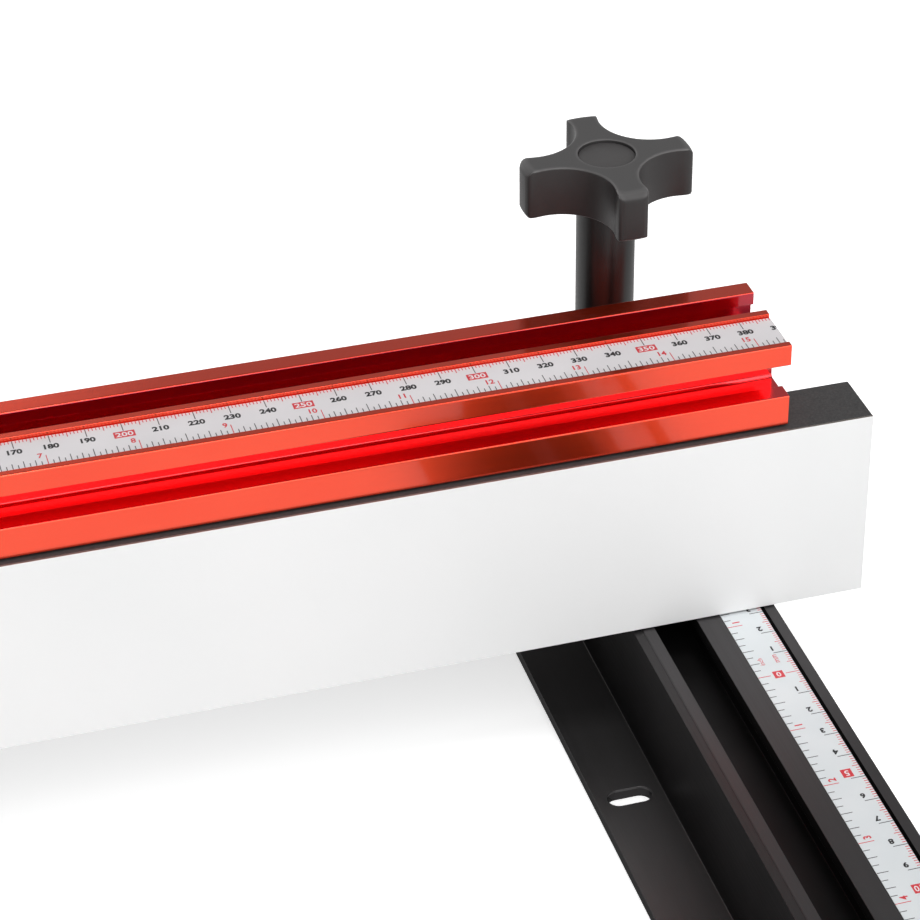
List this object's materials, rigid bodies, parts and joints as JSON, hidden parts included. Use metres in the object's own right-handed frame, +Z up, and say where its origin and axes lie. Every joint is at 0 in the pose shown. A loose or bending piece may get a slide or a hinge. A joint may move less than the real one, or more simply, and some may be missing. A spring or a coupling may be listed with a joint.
{
  "type": "router table fence",
  "caption": "Router table fence: slotted beam with scale over two sliding faces, on two guide rails, clamped by four-arm knobs.",
  "frame": {"origin": "on the floor under the guide rails, half way between them and half way along them", "axes": "+X along the fence to its right end seen from the front, +Y to the back of the fence, +Z up"},
  "size_m": [0.8304, 0.3, 0.1625],
  "materials": {
    "black_anodised": "black satin anodised extrusion",
    "red_anodised": "red satin anodised extrusion",
    "scale_tape": "printed white steel tape",
    "laminate": "smooth white laminate",
    "board_core": "dense black fibreboard",
    "track_metal": "clear anodised extrusion",
    "knob_plastic": "fine textured black moulding",
    "hood_plastic": "black moulding",
    "spacer_coat": "black coated steel tube",
    "nylon": "black nylon washer",
    "zinc_steel": "zinc plated steel",
    "black_steel": "black oxide steel screws"
  },
  "bodies": {
    "rails": {"guide_rail_right": "black_anodised", "guide_rail_left": "black_anodised", "rail_scale_right": "scale_tape", "rail_scale_left": "scale_tape"},
    "fence": {"fence_beam": "red_anodised", "fence_back": "black_anodised", "beam_screws": "black_steel", "dust_hood": "hood_plastic", "hood_screws": "black_steel", "fence_scale_right": "scale_tape", "fence_scale_left": "scale_tape", "clamp_spacers": "spacer_coat", "clamp_washers": "nylon", "face_bolts": "zinc_steel"},
    "face_right": {"face_board_right": "board_core", "face_laminate_right": "laminate", "face_track_right": "track_metal"},
    "clamp_right": {"clamp_knob_right": "knob_plastic", "knob_cap_right": "knob_plastic", "clamp_stud_right": "zinc_steel"},
    "nut_right": {"clamp_nut_right": "zinc_steel"},
    "face_knob_right_inner": {"face_knob_right_inner": "knob_plastic"},
    "face_knob_right_outer": {"face_knob_right_outer": "knob_plastic"},
    "face_left": {"face_board_left": "board_core", "face_laminate_left": "laminate", "face_track_left": "track_metal"},
    "clamp_left": {"clamp_knob_left": "knob_plastic", "knob_cap_left": "knob_plastic", "clamp_stud_left": "zinc_steel"},
    "nut_left": {"clamp_nut_left": "zinc_steel"},
    "face_knob_left_inner": {"face_knob_left_inner": "knob_plastic"},
    "face_knob_left_outer": {"face_knob_left_outer": "knob_plastic"}
  },
  "joints": [
    {"name": "fence_slide", "type": "slide", "parent": "rails", "child": "fence", "axis": [0, 1, 0], "range_m": [-0.225, 0.035]},
    {"name": "face_right_slide", "type": "slide", "parent": "fence", "child": "face_right", "axis": [1, 0, 0], "range_m": [-0.0257, 0.024]},
    {"name": "clamp_right_turn", "type": "hinge", "parent": "fence", "child": "clamp_right", "pos_m": [0.3562, 0.0986, 0.15], "axis": [0, 0, 1], "range_deg": [0, 720]},
    {"name": "nut_right_drop", "type": "slide", "parent": "fence", "child": "nut_right", "axis": [0, 0, -1], "range_m": [0, 0.0026]},
    {"name": "face_knob_right_inner_turn", "type": "hinge", "parent": "fence", "child": "face_knob_right_inner", "pos_m": [0.115, 0.0607, 0.072], "axis": [0, 1, 0], "range_deg": [0, 180]},
    {"name": "face_knob_right_outer_turn", "type": "hinge", "parent": "fence", "child": "face_knob_right_outer", "pos_m": [0.31, 0.0607, 0.072], "axis": [0, 1, 0], "range_deg": [0, 180]},
    {"name": "face_left_slide", "type": "slide", "parent": "fence", "child": "face_left", "axis": [-1, 0, 0], "range_m": [-0.0257, 0.024]},
    {"name": "clamp_left_turn", "type": "hinge", "parent": "fence", "child": "clamp_left", "pos_m": [-0.3562, 0.0986, 0.15], "axis": [0, 0, 1], "range_deg": [0, 720]},
    {"name": "nut_left_drop", "type": "slide", "parent": "fence", "child": "nut_left", "axis": [0, 0, -1], "range_m": [0, 0.0026]},
    {"name": "face_knob_left_inner_turn", "type": "hinge", "parent": "fence", "child": "face_knob_left_inner", "pos_m": [-0.115, 0.0607, 0.072], "axis": [0, 1, 0], "range_deg": [0, 180]},
    {"name": "face_knob_left_outer_turn", "type": "hinge", "parent": "fence", "child": "face_knob_left_outer", "pos_m": [-0.31, 0.0607, 0.072], "axis": [0, 1, 0], "range_deg": [0, 180]}
  ],
  "couplings": [
    {"joint": "nut_right_drop", "follows": "clamp_right_turn", "m_per_rad": 0.00019894},
    {"joint": "nut_left_drop", "follows": "clamp_left_turn", "m_per_rad": 0.00019894}
  ]
}
